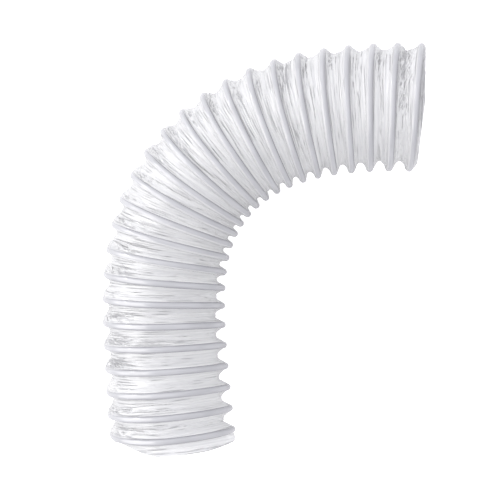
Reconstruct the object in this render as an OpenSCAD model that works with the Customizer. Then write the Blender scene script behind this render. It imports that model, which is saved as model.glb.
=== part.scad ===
// Flexible air duct: a tube of thin clear film that a helical rib holds open.
// Lengths are in millimetres and angles in degrees.
// The hose lies on its side on the floor. The inlet mouth is centred on the origin and faces -Y,
// the hose runs off along +Y and bends round to +X, and +Z points up.

/* [Film] */
// Inside diameter at the mouths
bore_d = 102; // [70:1:150]
// Thickness of one layer of film
film_t = 0.5; // [0.3:0.05:0.8]
// Length of hose from the inlet mouth to the middle of the first turn
inlet_end = 12; // [12:0.5:20]
// Length of hose from the middle of the last turn to the outlet mouth
outlet_end = 8.5; // [8:0.5:20]
// Length of the inner layer that lines each mouth
lip_l = 7; // [5:0.5:8]

/* [Rib] */
// Diameter of the rib
rib_d = 6.5; // [4:0.25:8]
// Height of the underside of the rib above the bore
rib_stand = 3; // [2.5:0.25:6]
// Number of turns
turns = 25; // [12:1:25]
// Length of one turn along the axis, where the hose is straight
pitch = 21.5; // [18:0.5:22]
// Angle by which the turns stand off square to the run of the hose
skew = 2; // [0:0.5:4]

/* [Bend] */
// Bend between two turns along the nearly straight ends
lean = 0.8; // [0:0.1:2]
// Further bend between two turns at the tightest place of the elbow
elbow_bend = 6.5; // [0:0.1:7]
// Place of the tightest bend, counted in turns from the inlet
elbow_turn = 12; // [6:0.5:18]
// Number of turns over which the elbow tightens
elbow_rise = 9; // [4:0.5:14]
// Number of turns over which the elbow opens out again
elbow_fall = 16; // [4:0.5:18]
// Distance from the axis, towards the outside of the bend, to the line that keeps its length
neutral_offset = 22; // [0:0.5:30]

/* [Clearance] */
// Between the rib and the film under it
seat_gap = 0.25; // [0.15:0.05:0.4]
// Between the two layers of film at a mouth
layer_gap = 0.3; // [0.2:0.05:0.5]
// On each side of the place where one turn of the rib ends and the next begins
rib_seam = 0.3; // [0.25:0.05:0.6]
// On each side of the place where one turn of the film ends and the next begins
film_seam = 0.2; // [0.1:0.05:0.4]

/* [Hidden] */
bore_r = bore_d / 2;
rib_r = rib_d / 2;
coil_r = bore_r + rib_stand + rib_r;
// A turn is two half circles that lean opposite ways, so that together they climb one pitch.
rib_tilt = asin(pitch / 4 / coil_r);
skew_advance = coil_r * sin(skew);
// Length of the collar that joins the halves, and how far it stands proud of the rib
joint_l = 0.6;
joint_proud = 0.03;
// Radii of the outer face of the film, under the rib and at its lowest
under_r = coil_r * cos(rib_tilt) - rib_r - seat_gap;
valley_r = bore_r + film_t + layer_gap + film_t;
// A strip of film narrower than this is left out where the rib runs out at a mouth.
least_strip = 1.2;
// Where the film's profile is drawn, as shares of the way from one rib to the next,
// and how far it has risen there from its lowest to its highest
profile_at = [0, 0.25, 0.6, 1];
profile_rise = [1, 0.3, 0, 1];
film_steps = 28;

// A turn's number, in two digits
function two_digits(k) = str(k < 10 ? "0" : "", k);

// The bend between turn k and the next, an uneven bell over a constant lean
function bend(k) =
    let (reach = k < elbow_turn ? elbow_rise : elbow_fall)
    lean + elbow_bend * pow(cos(90 * min(1, abs(k - elbow_turn) / reach)), 2);

// The direction of the axis at each turn, as an angle from +X
headings = [for (k = 1, a = 90; k <= turns; a = a - bend(k), k = k + 1) a];

function along(k) = [cos(headings[k - 1]), sin(headings[k - 1]), 0];
function outward(k) = [-sin(headings[k - 1]), cos(headings[k - 1]), 0];

// From the middle of turn k to the middle of the next: half a pitch in each turn's direction,
// shortened by what the neutral line saves on the inside of the bend
function stride(k) =
    k < turns
        ? pitch / 2 * (along(k) + along(k + 1)) + neutral_offset * (outward(k) - outward(k + 1))
        : [0, 0, 0];

// The middle of each turn
centres = [for (k = 1, c = [0, inlet_end, 0]; k <= turns; c = c + stride(k), k = k + 1) c];

// How far the rib has climbed at angle a: a turn starts below at -90 degrees, passes over the
// inside of the bend at 0, the top at 90 and the outside at 180, and ends below at 270.
function climb(a) = (a <= 90 ? -1 : 1) * pitch / 4 * (1 - sin(a)) + skew_advance * cos(a);

// Angle past the side of the hose at which the rib has climbed a length from its middle.
// It solves pitch / 4 * (1 + sin(x)) - skew_advance * cos(x) = length for x.
function runout(length) =
    let (swing = norm([pitch / 4, skew_advance]), share = (length - pitch / 4) / swing)
    min(90, atan2(skew_advance, pitch / 4) + asin(max(-1, min(1, share))));

// A point of the section at turn k: at angle a, radius r and advanced by s along the axis
function in_turn(k, a, s, r) =
    centres[k - 1] + s * along(k) - r * cos(a) * outward(k) + [0, 0, r * sin(a)];

// Film strip k is bounded by edges k and k + 1. Edges 1 to turns follow the rib,
// edge 0 is the inlet mouth and the last edge is the outlet mouth.
function is_mouth(edge) = edge < 1 || edge > turns;
function edge_turn(edge) = max(1, min(turns, edge));
function edge_advance(edge, a) =
    edge < 1 ? -inlet_end
    : edge > turns ? outlet_end
    : edge == 1 ? max(-inlet_end, climb(a))
    : edge == turns ? min(outlet_end, climb(a))
    : climb(a);

// Share of the way across strip k at profile point i, kept back from the next strip
function across(k, i) =
    let (trim = film_seam / pitch, first = is_mouth(k) ? 0 : trim, last = is_mouth(k + 1) ? 1 : 1 - trim)
    max(first, min(last, profile_at[i]));

// Radius of the outer face of strip k at profile point i: low at a mouth, high under the rib
function film_r(k, i) =
    let (low = (i == 0 && is_mouth(k)) || (i == len(profile_at) - 1 && is_mouth(k + 1)))
    valley_r + (under_r - valley_r) * (low ? 0 : profile_rise[i]);

// A point of strip k at angle a and profile point i, depth below its outer face
function film_point(k, a, i, depth) =
    let (r = film_r(k, i) - depth,
         start = in_turn(edge_turn(k), a, edge_advance(k, a), r),
         end = in_turn(edge_turn(k + 1), a, edge_advance(k + 1, a), r))
    start + (end - start) * across(k, i);

// One turn of the rib, cut square at the mouths
module rib(k) {
    seam_a = asin(rib_seam / coil_r);
    first_a = k == 1 ? -runout(inlet_end) : -90;
    last_a = k == turns ? 180 + runout(outlet_end) : 270;
    color("white")
        translate(centres[k - 1])
        rotate([0, 0, headings[k - 1] - 90])
        intersection() {
            rotate([0, 0, skew]) {
                rib_half(1, first_a + seam_a, 90);
                rib_half(-1, 90, last_a - seam_a);
                rib_joint();
            }
            mouth_cut(k);
        }
}

// Half a turn from angle a to angle b, leaning forwards (side 1) or back (side -1)
module rib_half(side, a, b) {
    translate([0, -side * pitch / 4, 0])
        rotate([90 - side * rib_tilt, 0, 0])
        rotate([0, 0, a])
        rotate_extrude(angle = b - a, $fn = 96)
        translate([coil_r, 0])
        circle(r = rib_r, $fn = 24);
}

// The short collar, a hair thicker than the rib, that makes the two halves one piece at the top
module rib_joint() {
    translate([-joint_l / 2, 0, coil_r * cos(rib_tilt)])
        rotate([0, 90, 0])
        cylinder(r = rib_r + joint_proud, h = joint_l, $fn = 48);
}

// The space between the mouths, as turn k sees it
module mouth_cut(k) {
    reach = 2 * coil_r;
    back = k == 1 ? inlet_end : reach;
    front = k == turns ? outlet_end : reach;
    translate([-reach, -back, -reach])
        cube([2 * reach, back + front, 2 * reach]);
}

// The strip of film between two turns of the rib, or between a mouth and the turn next to it
module film(k) {
    seam_a = asin(film_seam / bore_r);
    first_a = k == 0 ? -runout(inlet_end - least_strip) : -90;
    last_a = k == turns ? 180 + runout(outlet_end - least_strip) : 270;
    span = last_a - first_a - 2 * seam_a;
    angles = [for (n = [0 : film_steps]) first_a + seam_a + span * n / film_steps];
    count = len(profile_at);
    ring = 2 * count;
    color([0.86, 0.88, 0.92])
        polyhedron(
            points = [
                for (a = angles)
                    each concat(
                        [for (i = [0 : count - 1]) film_point(k, a, i, 0)],
                        [for (i = [count - 1 : -1 : 0]) film_point(k, a, i, film_t)])
            ],
            faces = concat(
                [for (n = [0 : film_steps - 1], i = [0 : ring - 1])
                    let (j = (i + 1) % ring, here = n * ring, next = here + ring)
                    each [[here + i, here + j, next + j], [here + i, next + j, next + i]]],
                end_faces(0, count, false),
                end_faces(film_steps * ring, count, true)));
}

// Triangles that close a strip, from the point numbered first
function end_faces(first, count, flip) = [
    for (i = [0 : count - 2])
        let (a = first + i, b = a + 1, c = first + 2 * count - 2 - i, d = c + 1)
        each flip ? [[a, b, c], [a, c, d]] : [[a, c, b], [a, d, c]]
];

// The plain inner layer of film that lines a mouth, where a spigot slips in
module lip(turn, from) {
    color([0.92, 0.93, 0.95])
        translate(centres[turn - 1])
        rotate([0, 0, headings[turn - 1] - 90])
        translate([0, from, 0])
        rotate([-90, 0, 0])
        difference() {
            cylinder(r = bore_r + film_t, h = lip_l, $fn = 96);
            translate([0, 0, -1])
                cylinder(r = bore_r, h = lip_l + 2, $fn = 96);
        }
}

for (k = [1 : turns])
    rib(k);
for (k = [1 : turns - 1])
    film(k);
film(0);  // film_inlet
film(turns);  // film_outlet
lip(1, -inlet_end);  // lip_inlet
lip(turns, outlet_end - lip_l);  // lip_outlet
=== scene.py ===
"""Looks of a flexible air duct: clear, creased film on a milky rib that winds round it.

The hose lies on its side on a pale floor. Its inlet mouth is centred on the origin and faces -Y,
and the hose runs off along +Y and bends round to +X. Lengths are in millimetres and angles in
radians until a mesh is made, which is in metres.
"""

import logging
from dataclasses import dataclass, field
from enum import Enum

import bpy
import numpy as np
from mathutils import Matrix, Vector


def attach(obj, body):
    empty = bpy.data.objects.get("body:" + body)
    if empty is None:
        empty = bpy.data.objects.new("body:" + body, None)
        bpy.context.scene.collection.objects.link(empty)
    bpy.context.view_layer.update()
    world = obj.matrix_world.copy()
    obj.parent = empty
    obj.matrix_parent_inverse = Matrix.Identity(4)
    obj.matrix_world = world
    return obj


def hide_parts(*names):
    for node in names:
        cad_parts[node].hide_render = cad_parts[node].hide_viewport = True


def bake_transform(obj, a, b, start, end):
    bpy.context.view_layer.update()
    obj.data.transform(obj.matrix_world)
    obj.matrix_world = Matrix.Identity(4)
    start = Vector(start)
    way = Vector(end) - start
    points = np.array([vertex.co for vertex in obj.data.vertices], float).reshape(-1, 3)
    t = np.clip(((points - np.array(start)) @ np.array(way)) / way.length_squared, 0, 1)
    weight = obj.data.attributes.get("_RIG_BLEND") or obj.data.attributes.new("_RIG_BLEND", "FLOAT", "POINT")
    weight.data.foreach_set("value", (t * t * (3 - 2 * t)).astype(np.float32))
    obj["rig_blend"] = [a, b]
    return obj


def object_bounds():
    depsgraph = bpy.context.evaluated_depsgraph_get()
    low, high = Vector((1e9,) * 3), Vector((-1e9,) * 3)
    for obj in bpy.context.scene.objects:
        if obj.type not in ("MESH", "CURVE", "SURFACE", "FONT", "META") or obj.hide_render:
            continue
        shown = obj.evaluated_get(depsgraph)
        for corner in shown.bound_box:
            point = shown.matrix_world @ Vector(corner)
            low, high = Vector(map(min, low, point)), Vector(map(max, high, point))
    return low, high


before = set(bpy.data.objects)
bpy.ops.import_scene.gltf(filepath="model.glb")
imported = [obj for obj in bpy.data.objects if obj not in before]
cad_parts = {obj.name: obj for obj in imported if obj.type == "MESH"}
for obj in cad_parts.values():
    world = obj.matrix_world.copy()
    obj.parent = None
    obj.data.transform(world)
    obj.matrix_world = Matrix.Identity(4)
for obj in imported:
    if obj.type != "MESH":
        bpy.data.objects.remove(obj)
CAD_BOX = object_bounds()

Pair = tuple[float, float]
Triple = tuple[float, float, float]

LOG = logging.getLogger("air_duct")
MM = 0.001
# The UV map with the place along and across the rib, and the attribute with the creases' height, which
# steers the film's painted crease shade
CHART = "rib_chart"
FOLD = "fold"
WHITE = (1.0, 1.0, 1.0, 1.0)
WARM = (1.0, 0.98, 0.93)
# The range of a share
FULL = (0.0, 1.0)


class Mouth(Enum):
    """The two open ends of the hose."""

    INLET = "inlet"
    OUTLET = "outlet"


class Slot(Enum):
    """The record's material slots."""

    RIB = "rib"
    FILM = "film"


# ---- Small helpers ----


def ease(x: np.ndarray, low: float | np.ndarray, high: float | np.ndarray) -> np.ndarray:
    """Smooth step: t * t * (3 - 2 t), where t = (x - low) / (high - low), kept in 0 to 1.

    Args:
        x: Where it is read.
        low: Where it starts to rise from 0.
        high: Where it reaches 1.

    Returns:
        The share risen at each x.
    """
    t = np.clip((x - low) / (high - low), 0.0, 1.0)
    return t * t * (3.0 - 2.0 * t)


def unit(v: np.ndarray) -> np.ndarray:
    """Each vector over its length: v / |v|."""
    return v / np.maximum(np.linalg.norm(v, axis=-1, keepdims=True), 1e-12)


def cubic(
    t: np.ndarray, a: np.ndarray, a_slope: np.ndarray, b: np.ndarray, b_slope: np.ndarray
) -> np.ndarray:
    """Hermite cubic (2t^3 - 3t^2 + 1) a + (t^3 - 2t^2 + t) a' + (3t^2 - 2t^3) b + (t^3 - t^2) b'.

    Args:
        t: Share of the way from a to b.
        a: Value at the start.
        a_slope: Slope at the start, over the whole way.
        b: Value at the end.
        b_slope: Slope at the end.

    Returns:
        The value at each share.
    """
    return (
        (2 * t**3 - 3 * t**2 + 1) * a
        + (t**3 - 2 * t**2 + t) * a_slope
        + (3 * t**2 - 2 * t**3) * b
        + (t**3 - t**2) * b_slope
    )


@dataclass(frozen=True)
class SoftNoise:
    """Random heights on a lattice, joined by smooth steps.

    Attributes:
        seed: Picks the heights.
        rows: Number of lattice rows before they repeat.
        columns: Number of lattice columns before they repeat.
    """

    seed: int
    rows: int = 2048
    columns: int = 64

    def at(self, p: np.ndarray, q: np.ndarray) -> np.ndarray:
        """Height between four lattice points: a bilinear mix with eased shares.

        Args:
            p: Place across the rows.
            q: Place across the columns.

        Returns:
            Heights from -1 to 1.
        """
        table = np.random.default_rng(self.seed).uniform(-1.0, 1.0, (self.rows, self.columns))
        i, j = np.floor(p).astype(int), np.floor(q).astype(int)
        sp, sq = ease(p - i, 0.0, 1.0), ease(q - j, 0.0, 1.0)
        i0, i1 = i % self.rows, (i + 1) % self.rows
        j0, j1 = j % self.columns, (j + 1) % self.columns
        low = table[i0, j0] * (1 - sp) + table[i1, j0] * sp
        high = table[i0, j1] * (1 - sp) + table[i1, j1] * sp
        return low * (1 - sq) + high * sq

    def ridge(self, p: np.ndarray, q: np.ndarray) -> np.ndarray:
        """Sharp crests where the noise passes through 0: (1 - |n|) ^ 4, from 0 to 1."""
        return (1 - np.abs(self.at(p, q))) ** 4


# ---- The line and shape of the hose ----


@dataclass(frozen=True)
class HoseLine:
    """The axis of the hose, as a function of u, which counts turns: turn k is centred at u = k.

    Attributes:
        pitch: Length of one turn.
        turns: Number of turns.
        inlet_end: From the inlet mouth to the middle of turn 1.
        outlet_end: From the middle of the last turn to the outlet mouth.
        lean: Bend in degrees between two turns everywhere.
        elbow_bend: Further bend in degrees at the tightest place.
        elbow_turn: Turn of the tightest place.
        elbow_rise: Turns over which the elbow tightens.
        elbow_fall: Turns over which it opens out.
        neutral: From the axis outwards to the line that keeps its length.
        skew: Advance along the axis of the inside of the bend against the middle.
        flatten: How far the outside of the elbow draws in as the bend flattens the section.
        flatten_from: Turn counts over which it starts to draw in.
        flatten_to: Turn counts over which it stops.
        push: How far a turn is pushed up the hose on the outside of the bend.
        crush: How far the first turn is pushed up there.
        crush_to: Turn counts over which that falls to the push of the others.
        cut_waves: Heights of the 5 and of the 11 waves round a cut edge.
        spare: How far the inlet's edge reaches past the mouth.
        tongue: How much further it reaches near the top of the inside.
        tongue_angle: Angle where it reaches furthest.
        tongue_side: Cosines of the angle from there between which it comes to that.
        back_from: Angles over which it falls back to the first turn.
        back_to: Angles over which it comes forward again.
        behind: How far it stops short of the first turn there.
        dip: How far the outlet's edge falls back on the inside.
        trim: How far it is short of the mouth elsewhere.
        calmer: Share of the waves that the outlet's edge has.
    """

    pitch: float = 21.5
    turns: int = 25
    inlet_end: float = 12.0
    outlet_end: float = 8.5
    lean: float = 0.8
    elbow_bend: float = 6.5
    elbow_turn: float = 12.0
    elbow_rise: float = 9.0
    elbow_fall: float = 16.0
    neutral: float = 22.0
    skew: float = 2.0
    flatten: float = 2.2
    flatten_from: Pair = (1.5, 5.0)
    flatten_to: Pair = (10.0, 19.0)
    push: float = 1.4
    crush: float = 4.5
    crush_to: Pair = (1.0, 2.4)
    cut_waves: Pair = (0.25, 0.15)
    spare: float = 1.2
    tongue: float = 2.6
    tongue_angle: float = 0.6
    tongue_side: Pair = (0.2, 1.0)
    back_from: Pair = (1.5, 2.5)
    back_to: Pair = (3.5, 4.4)
    behind: float = 1.0
    dip: float = 6.0
    trim: float = 0.4
    calmer: float = 0.5

    def headings(self) -> np.ndarray:
        """Direction of the axis at each turn: a quarter turn from +X, less the bends so far.

        Returns:
            One angle for each turn.
        """
        k = np.arange(1, self.turns)
        reach = np.where(k < self.elbow_turn, self.elbow_rise, self.elbow_fall)
        share = np.minimum(1.0, np.abs(k - self.elbow_turn) / reach)
        bends = self.lean + self.elbow_bend * np.cos(np.pi / 2 * share) ** 2
        return np.radians(90.0 - np.concatenate([[0.0], np.cumsum(bends)]))

    def stations(self) -> np.ndarray:
        """Points of the neutral line at each turn, half a pitch on in each turn's direction.

        Returns:
            One point of the floor's plane for each turn.
        """
        h = self.headings()
        steps = np.stack([np.cos(h), np.sin(h)], axis=-1) * self.pitch / 2
        walk = np.concatenate([[[0.0, 0.0]], np.cumsum(steps[:-1] + steps[1:], axis=0)])
        start = np.array([-self.neutral * np.sin(h[0]), self.inlet_end])
        return walk + start

    def split(self, u: np.ndarray) -> tuple[np.ndarray, np.ndarray]:
        """Finds the two turns that u lies between.

        Args:
            u: Turn counts.

        Returns:
            The turn before u and the share of the way to the next, both held at the end turns.
        """
        inside = np.clip(u, 1.0, self.turns)
        k = np.clip(np.floor(inside).astype(int), 1, self.turns - 1)
        return k, inside - k

    def heading(self, u: np.ndarray) -> np.ndarray:
        """Direction of the axis at u: a cubic through the turns' directions, held at the ends.

        Args:
            u: Turn counts.

        Returns:
            The directions, as angles from +X.
        """
        h = self.headings()
        slopes = np.gradient(h)
        k, t = self.split(u)
        return cubic(t, h[k - 1], slopes[k - 1], h[k], slopes[k])

    def axes(self, u: np.ndarray) -> tuple[np.ndarray, np.ndarray, np.ndarray]:
        """The middle of the hose and its directions at u.

        The neutral line is a cubic through its stations with tangents of one pitch, and the
        middle lies the neutral distance inwards of it. Beyond the end turns it runs on straight.

        Args:
            u: Turn counts, of any shape.

        Returns:
            Middle, direction of the axis and direction out of the bend, each with a last axis of 3.
        """
        points, h = self.stations(), self.headings()
        tangents = self.pitch * np.stack([np.cos(h), np.sin(h)], axis=-1)
        k, t = self.split(u)
        flat = cubic(t[..., None], points[k - 1], tangents[k - 1], points[k], tangents[k])
        a = self.heading(u)
        nought = np.zeros_like(a)
        ahead = np.stack([np.cos(a), np.sin(a), nought], axis=-1)
        out = np.stack([-np.sin(a), np.cos(a), nought], axis=-1)
        beyond = ((u - k - t) * self.pitch)[..., None]
        middle = np.concatenate([flat, nought[..., None]], axis=-1)
        return middle + beyond * ahead - self.neutral * out, ahead, out

    def place(self, u: np.ndarray, angle: np.ndarray, radius: np.ndarray) -> np.ndarray:
        """A point of the hose: middle + r (up sin a - out cos a) + advance ahead.

        On the outside of the bend, with o = (-cos a)^1.5 there and 0 elsewhere, the elbow draws
        r in by flatten o, and each turn lies further on: the advance is skew cos a + push o.

        Args:
            u: Turn counts.
            angle: Angle round the hose, 0 on the inside of the bend and a quarter turn on top.
            radius: Distance from the axis.

        Returns:
            Points, with a last axis of 3.
        """
        middle, ahead, out = self.axes(u)
        c, s = np.cos(angle), np.sin(angle)
        outside = np.maximum(0.0, -c) ** 1.5
        elbow = ease(u, *self.flatten_from) * (1 - ease(u, *self.flatten_to))
        r = (radius - self.flatten * elbow * outside)[..., None]
        push = self.push + (self.crush - self.push) * (1 - ease(u, *self.crush_to))
        advance = (self.skew * c + push * outside)[..., None]
        up = np.array([0.0, 0.0, 1.0])
        return middle + r * (up * s[..., None] - out * c[..., None]) + advance * ahead

    def spacing(self, u: np.ndarray, angle: np.ndarray, radius: float) -> np.ndarray:
        """Distance from one turn of the rib to the next: pitch - bend (neutral + r cos a).

        Args:
            u: Turn counts.
            angle: Angle round the hose.
            radius: Distance from the axis.

        Returns:
            Distances at that radius.
        """
        step = 0.5
        bend = self.heading(u - step) - self.heading(u + step)
        return self.pitch - bend * (self.neutral + radius * np.cos(angle))

    def cut(self, mouth: Mouth, angle: np.ndarray) -> np.ndarray:
        """Turn count of the film's cut edge, which was made by hand and isn't quite square.

        The inlet's edge falls back to the first turn on the outside of the bend and reaches
        furthest near the top of its inside. The outlet's falls back on the inside, by dip cos a.
        Both have a slight wave: a sin(5 angle + 1) + b sin(11 angle + 2).

        Args:
            mouth: Which end.
            angle: Angles round the hose, from 0 to one turn.

        Returns:
            u of the edge at each angle.
        """
        five, eleven = self.cut_waves
        wave = five * np.sin(5 * angle + 1.0) + eleven * np.sin(11 * angle + 2.0)
        if mouth is Mouth.OUTLET:
            fall = self.dip * np.maximum(0.0, np.cos(angle))
            advance = self.outlet_end - self.trim - fall + self.calmer * wave
            return self.turns + advance / self.pitch
        back = ease(angle, *self.back_from) * (1 - ease(angle, *self.back_to))
        longer = self.spare + self.tongue * ease(
            np.cos(angle - self.tongue_angle), *self.tongue_side
        )
        fall = (self.inlet_end - self.behind) * back
        advance = -self.inlet_end + fall + (wave - longer) * (1 - back)
        return 1.0 + advance / self.pitch


HOSE = HoseLine()


def turned(angle: np.ndarray) -> np.ndarray:
    """Turns that the rib makes from the top of the hose to an angle: (a - pi / 2) / (2 pi)."""
    return (angle - np.pi / 2) / (2 * np.pi)


def passes(u: np.ndarray, angle: np.ndarray, branch: float) -> np.ndarray:
    """How many times the rib has passed an angle, counted from u = 0.

    Args:
        u: Turn counts.
        angle: Angles round the hose, from 0 to one turn.
        branch: Angle at which the count of passes steps, where the rod starts or ends.

    Returns:
        u - turned(a), with the angles past the branch taken one turn back.
    """
    return u - turned(np.where(angle > branch, angle - 2 * np.pi, angle))


def phase(u: np.ndarray, angle: np.ndarray) -> np.ndarray:
    """Share of the way from one turn of the rib to the next, 0 on the rib itself.

    The rib passes over the top of the hose at each whole u and climbs one turn for each turn of
    the angle, so the phase is what u - turned(a) has past its whole part.
    """
    past = u - turned(angle)
    return past - np.floor(past)


# ---- Meshes ----


def grid_quads(rows: int, columns: int, offset: int = 0, flip: bool = False) -> np.ndarray:
    """Corners of the quads of a grid that closes up along its columns.

    Args:
        rows: Number of rows of points.
        columns: Number of points in a row.
        offset: Number of the grid's first point.
        flip: Turns the faces to the other side.

    Returns:
        One row of four point numbers for each quad.
    """
    i = np.arange(rows - 1)[:, None] * columns
    j = np.arange(columns)[None, :]
    nxt = (j + 1) % columns
    quads = np.stack([i + j, i + columns + j, i + columns + nxt, i + nxt], axis=-1)
    quads = quads.reshape(-1, 4) + offset
    return quads[:, ::-1] if flip else quads


def new_piece(
    name: str,
    points: np.ndarray,
    quads: np.ndarray,
    normals: np.ndarray,
    material: bpy.types.Material,
    chart: np.ndarray,
    fold: np.ndarray | None = None,
) -> bpy.types.Object:
    """Makes a mesh of quads with a normal for each corner.

    Args:
        name: The piece's name.
        points: Its points, in millimetres.
        quads: Four point numbers for each face.
        normals: A normal for each corner of each face, in the order of the quads.
        material: Its finish.
        chart: For each point, its distance along the rib and across it, in millimetres.
        fold: For each point of film, from 0 in a sharp groove to 1 on a sharp crest, and lower where painted
            shade falls by the rib; low values take painted shade.

    Returns:
        The object, at the origin, with its place in its mesh.
    """
    mesh = bpy.data.meshes.new(name)
    mesh.vertices.add(len(points))
    mesh.vertices.foreach_set("co", (points * MM).astype(np.float32).ravel())
    mesh.loops.add(quads.size)
    mesh.loops.foreach_set("vertex_index", quads.astype(np.int32).ravel())
    mesh.polygons.add(len(quads))
    mesh.polygons.foreach_set("loop_start", np.arange(0, quads.size, 4, dtype=np.int32))
    mesh.polygons.foreach_set("use_smooth", np.ones(len(quads), bool))
    mesh.update(calc_edges=True)
    mesh.normals_split_custom_set(unit(normals.reshape(-1, 3)).tolist())
    corners = (chart * MM)[quads.ravel()].astype(np.float32)
    mesh.uv_layers.new(name=CHART).data.foreach_set("uv", corners.ravel())
    if fold is not None:
        layer = mesh.attributes.new(FOLD, "FLOAT", "POINT")
        layer.data.foreach_set("value", fold.astype(np.float32).ravel())
    mesh.materials.append(material)
    piece = bpy.data.objects.new(name, mesh)
    bpy.context.scene.collection.objects.link(piece)
    return piece


def bend_with(piece: bpy.types.Object, turn: int, shares: np.ndarray) -> None:
    """Lets a piece flex between two turns: each point follows the next turn by its own share.

    Args:
        piece: The piece between turn and the next.
        turn: Number of the turn before it.
        shares: 0 where a point follows that turn, 1 where it follows the next.
    """
    middle, _, _ = HOSE.axes(np.array([float(turn), turn + 1.0]))
    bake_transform(piece, body(turn), body(turn + 1), start=middle[0] * MM, end=middle[1] * MM)
    attribute = piece.data.attributes["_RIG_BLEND"]
    attribute.data.foreach_set("value", shares.astype(np.float32).ravel())


def body(turn: int) -> str:
    """Name of the body that a turn rides on."""
    return f"turn_{turn:02d}"


# ---- Finishes ----


def charted(
    tree: bpy.types.NodeTree, length: float, width: float, offset: float = 0.0
) -> bpy.types.NodeSocket:
    """Reads the pieces' own chart, scaled to a pattern's length and width.

    Args:
        tree: The material's nodes.
        length: What counts as 1 along the rib, in millimetres.
        width: What counts as 1 across it, in millimetres.
        offset: How far the pattern is moved, in millimetres.

    Returns:
        The socket of the scaled place.
    """
    chart, fit = tree.nodes.new("ShaderNodeUVMap"), tree.nodes.new("ShaderNodeMapping")
    chart.uv_map = CHART
    fit.inputs["Scale"].default_value = (1 / (length * MM), 1 / (width * MM), 1.0)
    fit.inputs["Location"].default_value = (offset / length, offset / width, 0.0)
    tree.links.new(chart.outputs["UV"], fit.inputs["Vector"])
    return fit.outputs["Vector"]


@dataclass(frozen=True)
class StretchedNoise:
    """A noise that is drawn out along the rib, read from the pieces' own chart.

    Attributes:
        length: Length of its features along the rib, in millimetres.
        width: Their width across it, in millimetres.
        detail: How many finer layers it has.
        warp: How much it wanders.
        offset: How far along the rib it starts, in millimetres, so that two noises differ.
    """

    length: float
    width: float
    detail: float = 2.0
    warp: float = 0.0
    offset: float = 0.0

    def add(self, tree: bpy.types.NodeTree) -> bpy.types.NodeSocket:
        """Adds the noise to a material.

        Args:
            tree: The material's nodes.

        Returns:
            The socket of its height, from 0 to 1.
        """
        noise = tree.nodes.new("ShaderNodeTexNoise")
        noise.noise_dimensions = "2D"
        noise.inputs["Scale"].default_value = 1.0
        noise.inputs["Detail"].default_value = self.detail
        noise.inputs["Distortion"].default_value = self.warp
        place = charted(tree, self.length, self.width, self.offset)
        tree.links.new(place, noise.inputs["Vector"])
        return noise.outputs["Fac"]


def between(
    tree: bpy.types.NodeTree,
    value: bpy.types.NodeSocket,
    source: Pair,
    target: Pair,
) -> bpy.types.NodeSocket:
    """Maps a value from one range to another and keeps it inside.

    Args:
        tree: The material's nodes.
        value: The value's socket.
        source: Its range.
        target: The range of the result.

    Returns:
        The socket of the result.
    """
    node = tree.nodes.new("ShaderNodeMapRange")
    node.inputs["From Min"].default_value, node.inputs["From Max"].default_value = source
    node.inputs["To Min"].default_value, node.inputs["To Max"].default_value = target
    tree.links.new(value, node.inputs["Value"])
    return node.outputs["Result"]


def blended(
    tree: bpy.types.NodeTree,
    share: bpy.types.NodeSocket,
    base: bpy.types.NodeSocket | Triple,
    other: Triple,
) -> bpy.types.NodeSocket:
    """Mixes one colour into another.

    Args:
        tree: The material's nodes.
        share: The socket of the share of the other colour.
        base: The first colour, or its socket.
        other: The other colour.

    Returns:
        The socket of the mix.
    """
    mix = tree.nodes.new("ShaderNodeMix")
    mix.data_type = "RGBA"
    if isinstance(base, tuple):
        mix.inputs["A"].default_value = (*base, 1.0)
    else:
        tree.links.new(base, mix.inputs["A"])
    mix.inputs["B"].default_value = (*other, 1.0)
    tree.links.new(share, mix.inputs["Factor"])
    return mix.outputs["Result"]


def combined(
    tree: bpy.types.NodeTree, how: str, one: bpy.types.NodeSocket, other: bpy.types.NodeSocket
) -> bpy.types.NodeSocket:
    """Makes one value of two.

    Args:
        tree: The material's nodes.
        how: Operation of the Math node.
        one: The first value's socket.
        other: The second value's socket.

    Returns:
        The socket of the result.
    """
    node = tree.nodes.new("ShaderNodeMath")
    node.operation = how
    tree.links.new(one, node.inputs[0])
    tree.links.new(other, node.inputs[1])
    return node.outputs["Value"]


def coated(name: str, weight: float, roughness: float) -> bpy.types.Material:
    """Makes a material with a gloss on top.

    Args:
        name: The material's name.
        weight: Weight of the gloss.
        roughness: Roughness of the gloss.

    Returns:
        The material.
    """
    made = bpy.data.materials.new(name)
    made.use_nodes = True
    shader = made.node_tree.nodes["Principled BSDF"]
    shader.inputs["Coat Weight"].default_value = weight
    shader.inputs["Coat Roughness"].default_value = roughness
    return made


def add_relief(tree: bpy.types.NodeTree, height: bpy.types.NodeSocket, depth: float) -> None:
    """Makes a material's surface uneven.

    Args:
        tree: The material's nodes.
        height: The socket of the height, as a share of the depth.
        depth: Depth of the relief, in millimetres.
    """
    bump = tree.nodes.new("ShaderNodeBump")
    bump.inputs["Distance"].default_value = depth * MM
    tree.links.new(height, bump.inputs["Height"])
    tree.links.new(bump.outputs["Normal"], tree.nodes["Principled BSDF"].inputs["Normal"])


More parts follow.
